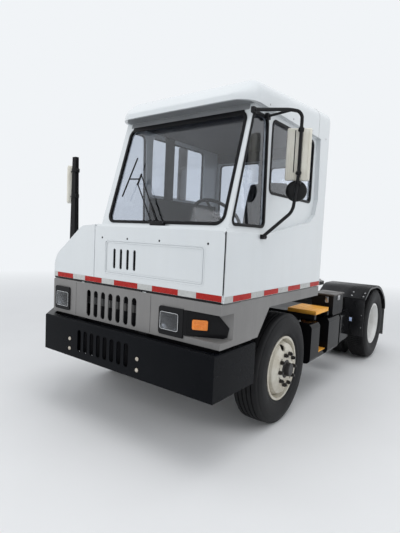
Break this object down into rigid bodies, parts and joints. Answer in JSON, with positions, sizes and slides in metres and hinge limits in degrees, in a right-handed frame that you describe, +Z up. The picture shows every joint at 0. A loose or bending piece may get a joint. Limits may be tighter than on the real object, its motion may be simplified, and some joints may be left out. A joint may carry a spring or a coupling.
{
  "type": "terminal tractor",
  "caption": "Single-axle terminal tractor with an offset tilt cab, folded plate bumper, twin rear tyres and a fifth wheel on a hydraulic lift boom.",
  "frame": {"origin": "on the ground, in the middle of the length and of the width over the mirrors", "axes": "+Z up, the front faces -Y, +X is the vehicle's left"},
  "size_m": [2.794, 4.83, 3.01],
  "materials": {
    "cab_paint": "glossy",
    "fascia_paint": "satin",
    "chassis_paint": "satin",
    "engine_paint": "satin",
    "tank_paint": "satin",
    "tread_yellow": "satin",
    "front_rim": "satin",
    "rear_rim": "satin",
    "tyre_rubber": "matt",
    "flap_rubber": "matt",
    "black_plastic": "satin",
    "lamp_lens": "glossy",
    "amber_lens": "glossy",
    "red_lens": "glossy",
    "window_glass": "glossy",
    "seat_cover": "matt",
    "mirror_shell": "satin",
    "bright_steel": "satin",
    "rod_chrome": "glossy",
    "plate_steel": "greasy",
    "hub_black": "satin"
  },
  "bodies": {
    "chassis": {"frame": "chassis_paint", "cab_posts": "chassis_paint", "front_bumper": "chassis_paint", "front_fascia": "fascia_paint", "engine": "engine_paint", "radiator": "chassis_paint", "front_axle": "chassis_paint", "front_springs": "chassis_paint", "drive_shaft": "chassis_paint", "rear_axle": "chassis_paint", "left_tank": "tank_paint", "right_tank": "tank_paint", "oil_tank": "tank_paint", "boarding_treads": "tread_yellow", "rear_deck": "chassis_paint", "battery_box": "tank_paint", "rear_fenders": "chassis_paint", "mud_flaps": "flap_rubber", "tail_lamps": "red_lens", "exhaust": "bright_steel", "arch_liners": "black_plastic", "lamp_bezels": "black_plastic", "headlamps": "lamp_lens", "marker_lamps": "amber_lens", "right_mirror_post": "chassis_paint", "right_mirror": "mirror_shell"},
    "cab": {"cab_shell": "cab_paint", "roof_cap": "cab_paint", "engine_hood": "cab_paint", "front_panel": "cab_paint", "cab_glass": "window_glass", "driver_seat": "seat_cover", "dashboard": "black_plastic", "steering_wheel": "black_plastic", "wiper": "black_plastic", "left_mirror_arm": "black_plastic", "left_mirrors": "mirror_shell"},
    "door": {"rear_door": "cab_paint", "rear_door_glass": "window_glass"},
    "knuckle_left": {"knuckle_left": "chassis_paint"},
    "knuckle_right": {"knuckle_right": "chassis_paint"},
    "front_wheel_left": {"front_tyre_left": "tyre_rubber", "front_wheel_left": "front_rim", "front_hub_left": "hub_black"},
    "front_wheel_right": {"front_tyre_right": "tyre_rubber", "front_wheel_right": "front_rim", "front_hub_right": "hub_black"},
    "rear_wheels_left": {"rear_tyres_left": "tyre_rubber", "rear_wheels_left": "rear_rim"},
    "rear_wheels_right": {"rear_tyres_right": "tyre_rubber", "rear_wheels_right": "rear_rim"},
    "boom": {"lift_boom": "chassis_paint"},
    "plate": {"fifth_wheel_plate": "plate_steel"},
    "barrels": {"lift_barrels": "chassis_paint"},
    "rods": {"lift_rods": "rod_chrome"}
  },
  "joints": [
    {"name": "cab_tilt", "type": "hinge", "parent": "chassis", "child": "cab", "pos_m": [0, -2.31, 1.234], "axis": [1, 0, 0], "range_deg": [0, 45]},
    {"name": "door_slide", "type": "slide", "parent": "cab", "child": "door", "axis": [-1, 0, 0], "range_m": [0, 0.6]},
    {"name": "steer_left", "type": "hinge", "parent": "chassis", "child": "knuckle_left", "pos_m": [0.8, -1.188, 0.512], "axis": [0, 0, 1], "range_deg": [-42, 42]},
    {"name": "steer_right", "type": "hinge", "parent": "chassis", "child": "knuckle_right", "pos_m": [-0.8, -1.188, 0.512], "axis": [0, 0, 1], "range_deg": [-42, 42]},
    {"name": "front_left_spin", "type": "hinge", "parent": "knuckle_left", "child": "front_wheel_left", "pos_m": [0.9865, -1.188, 0.512], "axis": [1, 0, 0], "continuous": true},
    {"name": "front_right_spin", "type": "hinge", "parent": "knuckle_right", "child": "front_wheel_right", "pos_m": [-0.9865, -1.188, 0.512], "axis": [1, 0, 0], "continuous": true},
    {"name": "rear_left_spin", "type": "hinge", "parent": "chassis", "child": "rear_wheels_left", "pos_m": [0.904, 1.758, 0.512], "axis": [1, 0, 0], "continuous": true},
    {"name": "rear_right_spin", "type": "hinge", "parent": "chassis", "child": "rear_wheels_right", "pos_m": [-0.904, 1.758, 0.512], "axis": [1, 0, 0], "continuous": true},
    {"name": "boom_lift", "type": "hinge", "parent": "chassis", "child": "boom", "pos_m": [0, 0.285, 0.8], "axis": [1, 0, 0], "range_deg": [0, 21]},
    {"name": "plate_tilt", "type": "hinge", "parent": "boom", "child": "plate", "pos_m": [0, 1.485, 0.985], "axis": [1, 0, 0], "range_deg": [-21, 12]},
    {"name": "barrel_swing", "type": "hinge", "parent": "chassis", "child": "barrels", "pos_m": [0, 0.785, 0.48], "axis": [1, 0, 0], "range_deg": [0, 12.3]},
    {"name": "rod_slide", "type": "slide", "parent": "barrels", "child": "rods", "axis": [0, 0.3085, 0.9512], "range_m": [0, 0.206]}
  ],
  "couplings": [
    {"joint": "steer_right", "follows": "steer_left", "ratio": 1},
    {"joint": "barrel_swing", "follows": "boom_lift", "ratio": 0.5787},
    {"joint": "rod_slide", "follows": "boom_lift", "m_per_rad": 0.5579}
  ]
}
